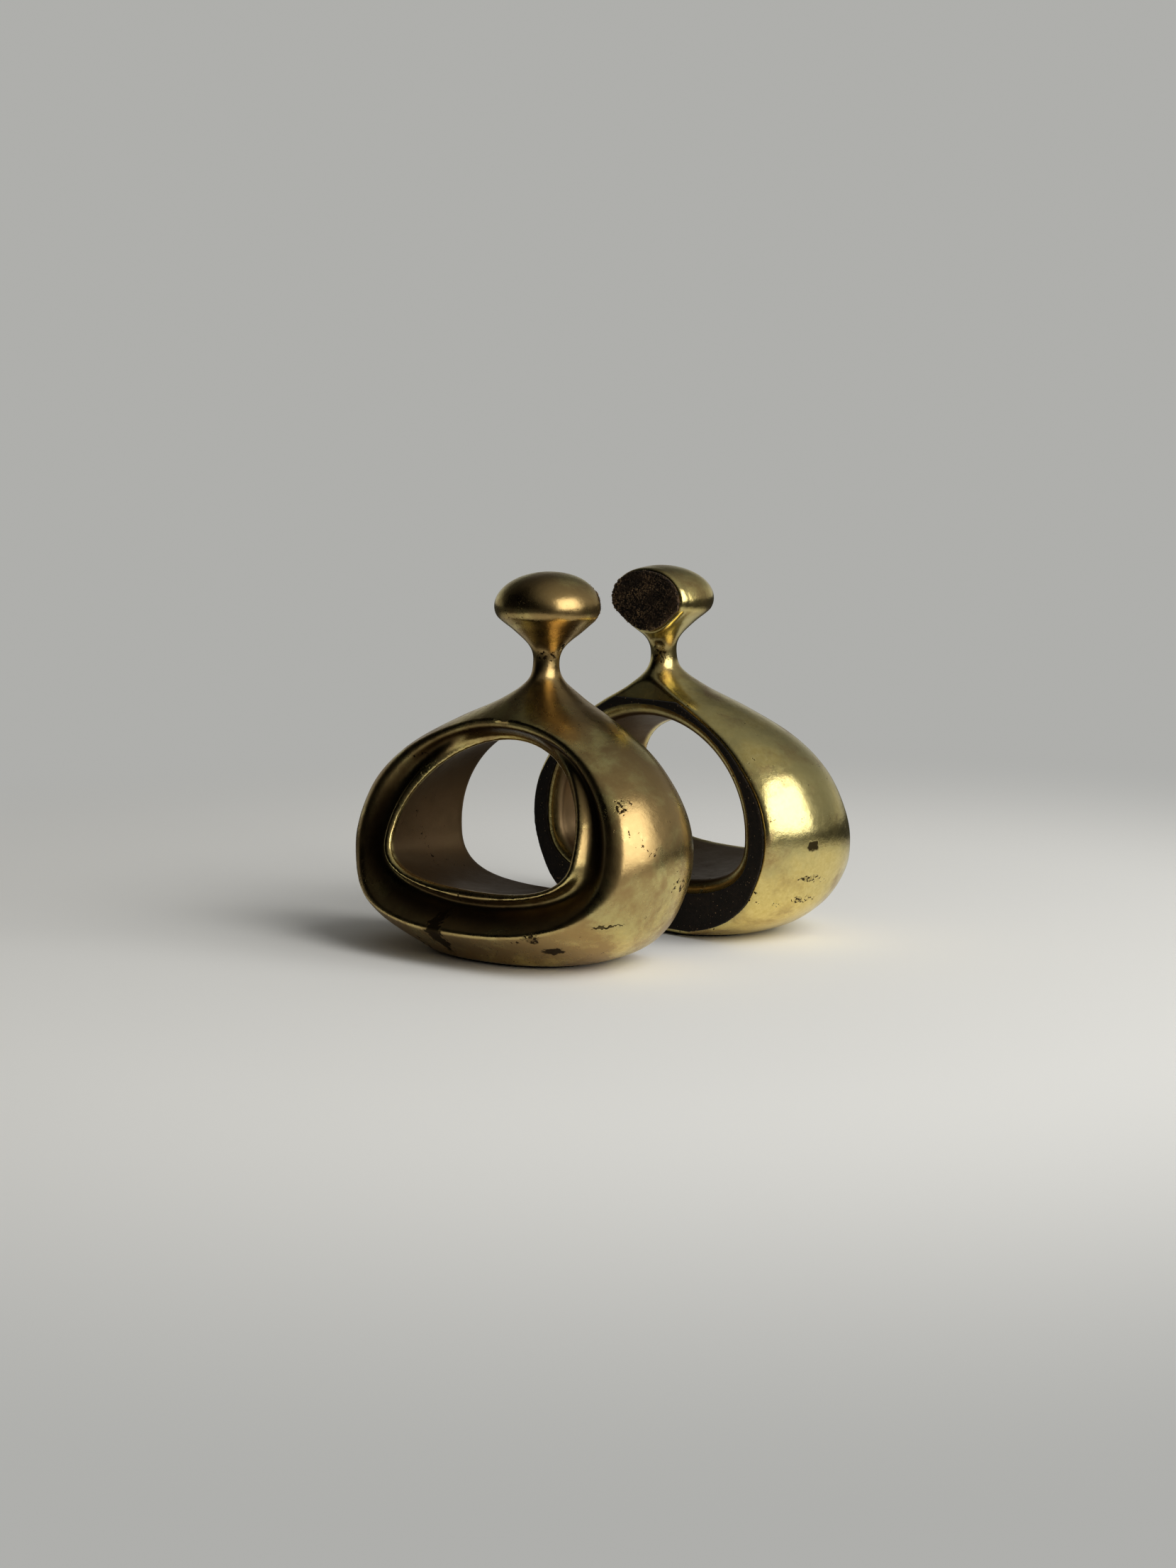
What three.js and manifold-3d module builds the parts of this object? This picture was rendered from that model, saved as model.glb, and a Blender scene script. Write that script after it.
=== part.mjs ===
// A pair of cast bookends. Each one is a wide loop with a slender neck and a flat pebble of a head,
// sliced off flat at the back, where the books stand, and at the base.
//
// Each bookend is drawn in its own frame, in millimetres: x across its width, y forward from the flat
// back face at y = 0, and z up from the surface it stands on. The pair stands back to back.

import * as THREE from 'three';
import { mergeVertices } from 'three/addons/utils/BufferGeometryUtils.js';
import Module from 'manifold-3d';

// ---------------------------------------------------------------- driving dimensions (mm)

const TOTAL_HEIGHT = 149;
const BACK_GAP = 42.5;                        // between the two flat backs
const SIDE_STEP = 8.5;                        // the second bookend stands this far to one side
const SECOND_TURN = THREE.MathUtils.degToRad(-5.4);

const PAD_THICKNESS = 1;
const PAD_GAP = 0.1;                          // glue line between a felt pad and the metal
const HEAD_PAD_INSET = 0.7;                   // bare metal left round each pad
const BACK_PAD_INSET = 1;
const BASE_PAD_INSET = 1.5;
const MOUTH_MARGIN = 0.4;                     // and round the mouth of the opening
const HEAD_PAD_SPAN = [ 122.5, 145.5 ];       // lowest and highest points of the upright pads
const BACK_PAD_SPAN = [ 2.6, 95.2 ];
const PAD_TIP = 0.8;                          // least half width, so that a pad's tips stay blunt
const CASTING_FLOOR = PAD_THICKNESS + PAD_GAP;

// Horizontal slices of the body: height, half width, middle depth, half depth, squareness.
// The head is widest at the last level but one. The level above it mirrors the one below it,
// so the sides stand upright there.
const HEAD_CREASE = 131.5;                    // where the underside of the head turns up
const HEAD_EQUATOR = 135.5;
const CROWN_SHORTFALL = 0.15;
const BODY_LEVELS = [
	[ 0, 36, 25, 27, 2.3 ],
	[ 5, 50.5, 24, 32.5, 2.3 ],
	[ 13, 61.5, 25.5, 41, 2.3 ],
	[ 24, 68, 27, 48.5, 2.3 ],
	[ 40, 73, 26.5, 49, 2.3 ],
	[ 56, 71, 25, 45, 2.3 ],
	[ 70, 64, 23.5, 37.5, 2.3 ],
	[ 82, 50.5, 20.2, 31, 2.3 ],
	[ 92, 32.5, 16.2, 23.4, 2.2 ],
	[ 100, 15.2, 12.6, 15.6, 2.1 ],
	[ 107, 6.6, 10.8, 8, 2 ],
	[ 113, 5.4, 10.5, 5.4, 2 ],
	[ 119, 7, 9.8, 6.4, 2 ],
	[ 126, 13.8, 8.8, 13.2, 2.2 ],
	[ 130, 18.4, 9.1, 17.3, 2.3 ],
	[ HEAD_CREASE, 19.6, 9.1, 18.9, 2.3 ],
	[ HEAD_EQUATOR, 20.4, 9, 20.6, 2.3 ],
	[ 2 * HEAD_EQUATOR - HEAD_CREASE, 19.6, 9.1, 18.9, 2.3 ],
];

// The through opening: a loaf-shaped outline, arched above its widest level and flatter below it.
const BACK_OUTLINE = { width: 51, level: 44.3, rise: 43.4, drop: 21.6, arch: 2, floor: 2.9 };
const THROAT_OUTLINE = { width: 45.5, level: 45.5, rise: 38.8, drop: 16.6, arch: 2, floor: 2.6 };
const RIDGE_OUTLINE = { width: 64.6, level: 41, rise: 52, drop: 28, arch: 2.1, floor: 2.3 };
const BARREL = 1.5;                           // the inner wall bellies out by this much
const BACK_ROUND = 5;                         // radius where the inner wall meets the back face

const BEAD_HEIGHT = 2.4;                      // raised rim round the front of the opening
const BEAD_WIDTH = 2.2;
const BEAD_OFFSET_TOP = 4.4;                  // from the throat out to the crest of the rim
const BEAD_OFFSET_SIDE = 2.8;
const SCOOP_DEPTH = 3.6;                      // hollow between the rim and the outer ridge

// ---------------------------------------------------------------- the surfaces as formulas

const levelCurve = new THREE.CubicInterpolant(
	BODY_LEVELS.map( ( level ) => level[ 0 ] ),
	BODY_LEVELS.flatMap( ( level ) => level.slice( 1 ) ),
	4
);

// The slice at a height. Above the head's widest level the slices close like an ellipse,
// and stop at a small flat crown just short of its tip.
function sliceAt( z ) {

	const [ halfWidth, middle, halfDepth, squareness ] = levelCurve.evaluate( Math.min( z, HEAD_EQUATOR ) );
	const t = Math.max( 0, z - HEAD_EQUATOR ) / ( TOTAL_HEIGHT + CROWN_SHORTFALL - HEAD_EQUATOR );
	const close = Math.sqrt( 1 - t * t );
	return { halfWidth: halfWidth * close, middle, halfDepth: halfDepth * close, squareness };

}

const power = ( value, exponent ) => Math.sign( value ) * Math.abs( value ) ** exponent;

function pointOnSlice( z, angle ) {

	const slice = sliceAt( z );
	const exponent = 2 / slice.squareness;
	return new THREE.Vector3(
		slice.halfWidth * power( Math.cos( angle ), exponent ),
		slice.middle + slice.halfDepth * power( Math.sin( angle ), exponent ),
		z
	);

}

// Half the width of the flat back face at a height, or 0 where the slice stands clear of it.
function backHalfWidth( z ) {

	const { halfWidth, middle, halfDepth, squareness } = sliceAt( z );
	if ( middle >= halfDepth ) return 0;
	return halfWidth * ( 1 - ( middle / halfDepth ) ** squareness ) ** ( 1 / squareness );

}

function mixOutline( a, b, t ) {

	const mixed = {};
	for ( const key of Object.keys( a ) ) mixed[ key ] = THREE.MathUtils.lerp( a[ key ], b[ key ], t );
	return mixed;

}

// A point of an outline grown by a distance, at an angle from the +x side.
function pointOnOutline( outline, grow, angle ) {

	const up = Math.sin( angle ) >= 0;
	const exponent = 2 / ( up ? outline.arch : outline.floor );
	const height = ( up ? outline.rise : outline.drop ) + grow;
	return new THREE.Vector2(
		( outline.width + grow ) * power( Math.cos( angle ), exponent ),
		outline.level + height * power( Math.sin( angle ), exponent )
	);

}

// 1 on the outline, less inside and more outside.
function outlineRatio( outline, x, z ) {

	const up = z >= outline.level;
	const exponent = up ? outline.arch : outline.floor;
	const height = up ? outline.rise : outline.drop;
	const across = ( Math.abs( x ) / outline.width ) ** exponent;
	return ( across + ( Math.abs( z - outline.level ) / height ) ** exponent ) ** ( 1 / exponent );

}

const throatDepth = ( z ) => 49 - 0.4 * ( z - 50 ) - 0.005 * ( z - 50 ) ** 2;
const ridgeDepth = ( z ) => 50 - 0.2 * ( z - 50 ) + 0.016 * Math.max( 0, 40 - z ) ** 2;

// How far forward the scooped front face lies, at a share of the way from the throat to the ridge.
function frontFaceDepth( point, share ) {

	const inward = THREE.MathUtils.clamp( share, 0, 1 );
	const reach = Math.hypot( point.x, point.y - THROAT_OUTLINE.level );
	const ratio = Math.max( outlineRatio( THROAT_OUTLINE, point.x, point.y ), 1 );
	const outward = reach * ( 1 - 1 / ratio );
	const upward = Math.max( 0, point.y - THROAT_OUTLINE.level ) / reach;
	const offset = THREE.MathUtils.lerp( BEAD_OFFSET_SIDE, BEAD_OFFSET_TOP, upward );
	const bead = BEAD_HEIGHT * Math.exp( - ( ( ( outward - offset ) / BEAD_WIDTH ) ** 2 ) );
	const scoop = SCOOP_DEPTH * Math.sin( Math.PI * inward ) ** 2;
	return THREE.MathUtils.lerp( throatDepth( point.y ), ridgeDepth( point.y ), inward ) + bead - scoop;

}

// ---------------------------------------------------------------- solids

const MERGE_TOLERANCE = 1e-4;
const ON_AXIS = 0.5;                          // cap centres lie nearer the axis than this

const wasm = await Module();
wasm.setup();

function toSolid( geometry ) {

	const bare = geometry.index ? geometry.toNonIndexed() : geometry.clone();
	bare.deleteAttribute( 'normal' );
	bare.deleteAttribute( 'uv' );
	const merged = mergeVertices( bare, MERGE_TOLERANCE );
	return new wasm.Manifold( new wasm.Mesh( {
		numProp: 3,
		vertProperties: new Float32Array( merged.attributes.position.array ),
		triVerts: new Uint32Array( merged.index.array ),
	} ) );

}

function toGeometry( solid ) {

	const mesh = solid.getMesh();
	const geometry = new THREE.BufferGeometry();
	geometry.setAttribute( 'position', new THREE.BufferAttribute( mesh.vertProperties, 3 ) );
	geometry.setIndex( new THREE.BufferAttribute( mesh.triVerts, 1 ) );
	return geometry;

}

// Moves every corner of a geometry to where a function of its old place says.
function reshape( geometry, place ) {

	const position = geometry.attributes.position;
	const corner = new THREE.Vector3();
	for ( let i = 0; i < position.count; i ++ ) {

		corner.copy( place( corner.fromBufferAttribute( position, i ) ) );
		position.setXYZ( i, corner.x, corner.y, corner.z );

	}

	return geometry;

}

// The whole outer form, from a cylinder whose rings become the slices.
const OUTER_SIDES = 48;
const OUTER_RINGS = 40;

function outerForm() {

	const cylinder = new THREE.CylinderGeometry( 1, 1, 1, OUTER_SIDES, OUTER_RINGS );
	return reshape( cylinder, ( corner ) => {

		// The rings stand closer together towards the base and the crown.
		const even = corner.y + 0.5;
		const z = TOTAL_HEIGHT * ( even / 2 + ( 1 - Math.cos( Math.PI * even ) ) / 4 );
		const onAxis = Math.hypot( corner.x, corner.z ) < ON_AXIS;
		if ( onAxis ) return new THREE.Vector3( 0, sliceAt( z ).middle, z );
		return pointOnSlice( z, Math.atan2( corner.z, corner.x ) * - 1 );

	} );

}

// What is taken out of the middle, from a cylinder whose rings run forward through the opening,
// out over the front face to the ridge, and on past the outer form.
const WALL_RINGS = [ - 0.02, 0.004, 0.02, 0.045, 0.1, 0.3, 0.55, 0.8, 1 ];
const FACE_RINGS = [ 0.07, 0.14, 0.2, 0.27, 0.38, 0.52, 0.68, 0.85, 1, 1.35 ];
const CLEAR_DEPTH = 130;
const HOLLOW_SIDES = 44;

function wallRingPoint( share, angle ) {

	const inside = Math.max( share, 0 );
	const outline = mixOutline( BACK_OUTLINE, THROAT_OUTLINE, inside );
	const toEdge = THREE.MathUtils.clamp( BACK_ROUND - share * throatDepth( outline.level ), 0, BACK_ROUND );
	const round = BACK_ROUND - Math.sqrt( BACK_ROUND ** 2 - toEdge ** 2 );
	const point = pointOnOutline( outline, round + BARREL * Math.sin( Math.PI * inside ), angle );
	return new THREE.Vector3( point.x, share * throatDepth( point.y ), point.y );

}

function faceRingPoint( share, angle ) {

	const point = pointOnOutline( mixOutline( THROAT_OUTLINE, RIDGE_OUTLINE, share ), 0, angle );
	return new THREE.Vector3( point.x, frontFaceDepth( point, share ), point.y );

}

function hollowForm() {

	const rings = WALL_RINGS.length + FACE_RINGS.length;
	const cylinder = new THREE.CylinderGeometry( 1, 1, 1, HOLLOW_SIDES, rings );
	return reshape( cylinder, ( corner ) => {

		const ring = Math.round( ( corner.y + 0.5 ) * rings );
		const angle = Math.atan2( corner.z, corner.x );
		const wall = ring < WALL_RINGS.length;
		const faceRing = Math.min( ring - WALL_RINGS.length, FACE_RINGS.length - 1 );
		const point = wall
			? wallRingPoint( WALL_RINGS[ ring ], angle )
			: faceRingPoint( FACE_RINGS[ faceRing ], angle );
		if ( ring === rings ) point.y = CLEAR_DEPTH;
		const onAxis = Math.hypot( corner.x, corner.z ) < ON_AXIS;
		if ( onAxis ) point.set( 0, point.y, BACK_OUTLINE.level );
		return point;

	} );

}

// A block wider than the casting that ends at a depth and a height.
const SAW_SIZE = 400;

function sawBlock( depth, height ) {

	const box = new THREE.BoxGeometry( SAW_SIZE, SAW_SIZE, SAW_SIZE );
	return box.translate( 0, depth - SAW_SIZE / 2, height - SAW_SIZE / 2 );

}

function castingGeometry() {

	const cuts = [
		hollowForm(),
		sawBlock( 0, SAW_SIZE / 2 ),                  // the flat back
		sawBlock( SAW_SIZE / 2, CASTING_FLOOR ),      // the flat base
	];
	let casting = toSolid( outerForm() );
	for ( const cut of cuts ) casting = casting.subtract( toSolid( cut ) );
	return toGeometry( casting );

}

// ---------------------------------------------------------------- felt pads

const HEAD_PAD_STEPS = 16;
const BACK_PAD_STEPS = 22;
const MOUTH_STEPS = 44;
const BASE_PAD_STEPS = 40;

// A flat pad against the back plane: the shape's y runs up.
function uprightPad( shape ) {

	const pad = new THREE.ExtrudeGeometry( shape, { depth: PAD_THICKNESS, bevelEnabled: false } );
	return pad.rotateX( Math.PI / 2 ).translate( 0, - PAD_GAP, 0 );

}

// The outline of the back face between two heights, drawn in by an inset.
function backFaceOutline( [ low, high ], inset, steps ) {

	const side = [];
	for ( let i = 0; i <= steps; i ++ ) {

		const z = THREE.MathUtils.lerp( low, high, 0.5 - 0.5 * Math.cos( Math.PI * i / steps ) );
		side.push( new THREE.Vector2( Math.max( backHalfWidth( z ) - inset, PAD_TIP ), z ) );

	}

	return [ ...side, ...side.map( ( p ) => new THREE.Vector2( - p.x, p.y ) ).reverse() ];

}

function headPadGeometry() {

	return uprightPad( new THREE.Shape( backFaceOutline( HEAD_PAD_SPAN, HEAD_PAD_INSET, HEAD_PAD_STEPS ) ) );

}

function backPadGeometry() {

	const shape = new THREE.Shape( backFaceOutline( BACK_PAD_SPAN, BACK_PAD_INSET, BACK_PAD_STEPS ) );
	const mouth = [];
	for ( let i = 0; i < MOUTH_STEPS; i ++ ) {

		const angle = - i / MOUTH_STEPS * 2 * Math.PI;
		mouth.push( pointOnOutline( BACK_OUTLINE, BACK_ROUND + MOUTH_MARGIN, angle ) );

	}

	shape.holes.push( new THREE.Path( mouth ) );
	return uprightPad( shape );

}

function basePadGeometry() {

	const outline = [];
	const shrink = 1 - BASE_PAD_INSET / sliceAt( 0 ).halfWidth;
	for ( let i = 0; i < BASE_PAD_STEPS; i ++ ) {

		const point = pointOnSlice( 0, i / BASE_PAD_STEPS * 2 * Math.PI );
		outline.push( new THREE.Vector2( point.x * shrink, Math.max( point.y * shrink, BASE_PAD_INSET ) ) );

	}

	const shape = new THREE.Shape( outline );
	return new THREE.ExtrudeGeometry( shape, { depth: PAD_THICKNESS, bevelEnabled: false } );

}

// ---------------------------------------------------------------- the pair

const agedBrass = () => new THREE.MeshStandardMaterial( { color: 0x8a6a2c, roughness: 0.28, metalness: 1 } );
const darkFelt = () => new THREE.MeshStandardMaterial( { color: 0x2a2420, roughness: 1, metalness: 0 } );

const PIECES = [
	{ name: 'casting', geometry: castingGeometry(), material: agedBrass },
	{ name: 'head_pad', geometry: headPadGeometry(), material: darkFelt },
	{ name: 'back_pad', geometry: backPadGeometry(), material: darkFelt },
	{ name: 'base_pad', geometry: basePadGeometry(), material: darkFelt },
];

function bookend( label ) {

	const group = new THREE.Group();
	for ( const piece of PIECES ) {

		const mesh = new THREE.Mesh( piece.geometry, piece.material() );
		mesh.name = `bookend_${ label }_${ piece.name }`;
		group.add( mesh );

	}

	return group;

}

// The first bookend's back faces +x and the second one's faces -x.
const first = bookend( 'a' );
first.rotation.z = Math.PI / 2;
const second = bookend( 'b' );
second.rotation.z = - Math.PI / 2 + SECOND_TURN;
second.position.set( BACK_GAP, - SIDE_STEP, 0 );

const pair = new THREE.Group();
pair.add( first, second );

// The pair's origin is the middle of its footprint.
pair.updateMatrixWorld( true );
const middle = new THREE.Box3().setFromObject( pair, true ).getCenter( new THREE.Vector3() );
pair.position.set( - middle.x, - middle.y, 0 );

export default pair;
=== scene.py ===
# %% [markdown]
# # A pair of cast bookends
# Each bookend is one casting: a wide loop that narrows to a neck and swells again into a flat pebble
# of a head. The whole form is sliced off flat where the books stand, and felt pads cover what would
# scratch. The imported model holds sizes, places and the sliding joint. This lesson gives it its looks.

# %% Load the frame
import math

import bpy
import numpy as np
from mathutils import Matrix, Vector


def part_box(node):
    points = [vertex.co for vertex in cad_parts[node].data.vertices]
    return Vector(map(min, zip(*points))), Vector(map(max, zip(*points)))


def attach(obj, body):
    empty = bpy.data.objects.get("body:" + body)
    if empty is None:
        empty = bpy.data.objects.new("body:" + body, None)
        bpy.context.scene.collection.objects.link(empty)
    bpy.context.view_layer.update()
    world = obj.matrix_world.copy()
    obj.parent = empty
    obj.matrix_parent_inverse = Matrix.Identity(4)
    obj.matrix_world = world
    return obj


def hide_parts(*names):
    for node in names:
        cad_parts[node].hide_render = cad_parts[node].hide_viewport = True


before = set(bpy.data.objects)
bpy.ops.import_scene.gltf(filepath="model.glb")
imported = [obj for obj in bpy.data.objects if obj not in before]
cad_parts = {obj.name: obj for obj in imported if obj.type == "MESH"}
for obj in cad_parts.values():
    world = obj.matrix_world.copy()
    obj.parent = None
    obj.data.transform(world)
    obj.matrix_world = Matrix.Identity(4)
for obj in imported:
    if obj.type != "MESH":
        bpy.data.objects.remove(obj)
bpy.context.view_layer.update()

# %% [markdown]
# ## Where each bookend stands
# Both bookends share one drawing frame: x across the width, y forward from the flat back, z up, in
# millimetres. The first bookend's back faces +X and the second one's faces -X with a small turn. The
# first one's place comes from its packed box. The second one's follows from the gap between the backs.

# %% Two places for one drawing
MM = 0.001
BACK_GAP, SIDE_STEP, SECOND_TURN = 42.5, 8.5, math.radians(-5.4)
BODIES = {"a": "first_bookend", "b": "second_bookend"}

first_low, first_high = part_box("bookend_a_casting")
first_place = np.array([first_high.x / MM, (first_low.y + first_high.y) / 2 / MM])
PLACES = {
    "a": (first_place, math.pi / 2),
    "b": (first_place + [BACK_GAP, -SIDE_STEP], -math.pi / 2 + SECOND_TURN),
}


def to_row_frame(points, label):
    """Drawing-frame points in millimetres, as row-frame points in metres."""
    origin, turn = PLACES[label]
    c, s = math.cos(turn), math.sin(turn)
    x = points[:, 0] * c - points[:, 1] * s + origin[0]
    y = points[:, 0] * s + points[:, 1] * c + origin[1]
    return np.stack([x, y, points[:, 2]], 1) * MM


print("first bookend at", first_place.round(2), "mm")

# %% [markdown]
# ## The shape, as formulas
# The outer form is a stack of horizontal slices. Each slice is a superellipse, an ellipse that can be
# a little squarer. A few levels set its half width, the depth of its middle, its half depth and its
# squareness, and a smooth curve runs through them. Above the head's widest level the slices close
# like a ball.

# %% The outer form
TOTAL_HEIGHT = 149
HEAD_CREASE = 131.5
HEAD_EQUATOR = 135.5
BODY_LEVELS = np.array([
    [0, 36, 25, 27, 2.3],
    [5, 50.5, 24, 32.5, 2.3],
    [13, 61.5, 25.5, 41, 2.3],
    [24, 68, 27, 48.5, 2.3],
    [40, 73, 26.5, 49, 2.3],
    [56, 71, 25, 45, 2.3],
    [70, 64, 23.5, 37.5, 2.3],
    [82, 50.5, 20.2, 31, 2.3],
    [92, 32.5, 16.2, 23.4, 2.2],
    [100, 15.2, 12.6, 15.6, 2.1],
    [107, 6.6, 10.8, 8, 2],
    [113, 5.4, 10.5, 5.4, 2],
    [119, 7, 9.8, 6.4, 2],
    [126, 13.8, 8.8, 13.2, 2.2],
    [130, 18.4, 9.1, 17.3, 2.3],
    [HEAD_CREASE, 19.6, 9.1, 18.9, 2.3],
    [HEAD_EQUATOR, 20.4, 9, 20.6, 2.3],
    [2 * HEAD_EQUATOR - HEAD_CREASE, 19.6, 9.1, 18.9, 2.3],
])


def levels_at(z):
    """Half width, middle, half depth and squareness at heights z, on a cubic through the levels."""
    heights, values = BODY_LEVELS[:, 0], BODY_LEVELS[:, 1:]
    secants = np.diff(values, axis=0) / np.diff(heights)[:, None]
    slopes = np.vstack([secants[:1], (secants[1:] + secants[:-1]) / 2, secants[-1:]])
    z = np.clip(z, 0, HEAD_EQUATOR)
    i = np.clip(np.searchsorted(heights, z) - 1, 0, len(heights) - 2)
    span = heights[i + 1] - heights[i]
    t = (z - heights[i]) / span
    start, end = t * t * (2 * t - 3) + 1, t * t * (3 - 2 * t)
    lean_in, lean_out = t * (t - 1) ** 2 * span, t * t * (t - 1) * span
    return [start * values[i, k] + end * values[i + 1, k] + lean_in * slopes[i, k]
            + lean_out * slopes[i + 1, k] for k in range(4)]


def outer_form(x, y, z):
    """Below 0 inside the outer form, 0 on it, above 0 outside."""
    half_width, middle, half_depth, squareness = levels_at(z)
    ratio = ((np.abs(x) / half_width) ** squareness
             + (np.abs(y - middle) / half_depth) ** squareness) ** (1 / squareness)
    rise = np.maximum(z - HEAD_EQUATOR, 0) / (TOTAL_HEIGHT - HEAD_EQUATOR)
    return np.hypot(ratio, rise) - 1


print(len(BODY_LEVELS), "levels, from the base to the crown at", TOTAL_HEIGHT, "mm")

# %% [markdown]
# ## The opening and the scooped front
# The loop's opening has a loaf-shaped outline, arched above and flatter below. It starts wide at the
# back, bellies out a little on the way and tightens to a throat in front. Round the throat runs a
# raised bead, and from there the front face is hollowed like a moat up to a sharp outer ridge.

# %% Outlines and the front face
BACK_OUTLINE = dict(width=51, level=44.3, rise=43.4, drop=21.6, arch=2, floor=2.9)
THROAT_OUTLINE = dict(width=45.5, level=45.5, rise=38.8, drop=16.6, arch=2, floor=2.6)
RIDGE_OUTLINE = dict(width=64.6, level=41, rise=52, drop=28, arch=2.1, floor=2.3)
BARREL = 1.5
BACK_ROUND = 5
BEAD_HEIGHT, BEAD_WIDTH = 2.4, 2.2
BEAD_OFFSET_TOP, BEAD_OFFSET_SIDE = 4.4, 2.8
SCOOP_DEPTH = 3.6


def outline_ratio(outline, x, z, grow=0.0):
    """1 on an outline grown by some millimetres, less inside it and more outside."""
    up = z >= outline["level"]
    exponent = np.where(up, outline["arch"], outline["floor"])
    height = np.where(up, outline["rise"], outline["drop"]) + grow
    across = (np.abs(x) / (outline["width"] + grow)) ** exponent
    return (across + (np.abs(z - outline["level"]) / height) ** exponent) ** (1 / exponent)


def throat_depth(z):
    return 49 - 0.4 * (z - 50) - 0.005 * (z - 50) ** 2


def ridge_depth(z):
    return 50 - 0.2 * (z - 50) + 0.016 * np.maximum(0, 40 - z) ** 2


def opening_wall(x, y, z):
    """Below 0 inside the opening."""
    share = np.clip(y / throat_depth(z), 0, 1)
    outline = {key: BACK_OUTLINE[key] + (THROAT_OUTLINE[key] - BACK_OUTLINE[key]) * share
               for key in BACK_OUTLINE}
    return outline_ratio(outline, x, z, BARREL * np.sin(np.pi * share)) - 1


def across_front(x, z):
    """Share of the way from throat to ridge, and millimetres outward from the bead's crest."""
    throat = outline_ratio(THROAT_OUTLINE, x, z)
    ridge = outline_ratio(RIDGE_OUTLINE, x, z)
    share = np.clip((throat - 1) / np.maximum(throat - ridge, 0.05), 0, 1)
    reach = np.hypot(x, z - THROAT_OUTLINE["level"])
    upward = np.maximum(0, z - THROAT_OUTLINE["level"]) / np.maximum(reach, 1)
    crest = BEAD_OFFSET_SIDE + (BEAD_OFFSET_TOP - BEAD_OFFSET_SIDE) * upward
    return share, reach * (1 - 1 / np.maximum(throat, 0.5)) - crest


def front_face(x, z):
    """How far forward the front face lies over a point of the back plane."""
    share, past_crest = across_front(x, z)
    bead = BEAD_HEIGHT * np.exp(-(past_crest / BEAD_WIDTH) ** 2)
    scoop = SCOOP_DEPTH * np.sin(np.pi * share) ** 2
    return throat_depth(z) * (1 - share) + ridge_depth(z) * share + bead - scoop


print("front face at the crown of the arch:", float(front_face(0.0, 90.0)).__round__(1), "mm")

# %% [markdown]
# ## Joining them with rounded edges
# Dividing a formula by its own slope turns it into a distance in millimetres. Two distances can then
# be joined so that the edge between them gets a true radius. That is how a founder's pattern is
# made: crisp at the ridge, softer at the back of the loop, with no edge left razor sharp.

# %% The casting as one distance
RIDGE_RADIUS_LOW, RIDGE_RADIUS_HIGH = 2.0, 4.2
CREASE_RADIUS, FOOT_RADIUS, THROAT_RADIUS = 0.9, 1.0, 0.7
RIDGE_BLEND = (16, 40)        # heights between which the ridge's radius grows
MOUTH_BLEND = (6, 20)         # depths between which the opening's rim tightens to the throat's
CASTING_FLOOR = 1.0
PROBE = 0.05


def ease(values, low, high):
    """0 below low, 1 above high and a smooth step between."""
    t = np.clip((values - low) / (high - low), 0, 1)
    return t * t * (3 - 2 * t)


def as_distance(formula, x, y, z):
    """A formula divided by its own slope, which is close to a distance near the surface."""
    value = formula(x, y, z)
    slope = np.sqrt(sum((formula(x + dx, y + dy, z + dz) - value) ** 2
                        for dx, dy, dz in np.eye(3) * PROBE)) / PROBE
    return value / np.maximum(slope, 1e-3)


def rounded_both(a, b, radius):
    """The intersection of two solids given as distances, with its edge rounded."""
    return (np.minimum(-radius, np.maximum(a, b))
            + np.hypot(np.maximum(radius + a, 0), np.maximum(radius + b, 0)))


def casting(x, y, z):
    """Distance to the casting's surface in millimetres, below 0 in the metal."""
    ridge = RIDGE_RADIUS_LOW + (RIDGE_RADIUS_HIGH - RIDGE_RADIUS_LOW) * ease(z, *RIDGE_BLEND)
    body = rounded_both(as_distance(outer_form, x, y, z),
                        as_distance(lambda u, v, w: v - front_face(u, w), x, y, z), ridge)
    body = rounded_both(body, -y, CREASE_RADIUS)
    body = rounded_both(body, CASTING_FLOOR - z, FOOT_RADIUS)
    mouth = BACK_ROUND + (THROAT_RADIUS - BACK_ROUND) * ease(y, *MOUTH_BLEND)
    return rounded_both(body, -as_distance(opening_wall, x, y, z), mouth)


print("in the foot:", round(float(casting(0.0, 20.0, 12.0)), 1), "mm;",
      "in the opening:", round(float(casting(0.0, 20.0, 50.0)), 1), "mm")

# %% [markdown]
# ## From distance to mesh
# A grid of cubes samples the distance. Every cube that the surface passes through gets one vertex,
# and every grid edge that crosses it gets one quad between the four cubes round it. The vertices are
# then slid along the slope until they lie on the surface itself, so the faces are even and true to
# the formula, which is what a polished surface needs. The same mesher makes the castings and pads.

# %% Surface mesher
SLIDES = 3


def slope_of(shape, points):
    base = shape(*points.T)
    slope = np.stack([shape(*(points + step).T) - base for step in np.eye(3) * PROBE], 1) / PROBE
    return base, slope


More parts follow.
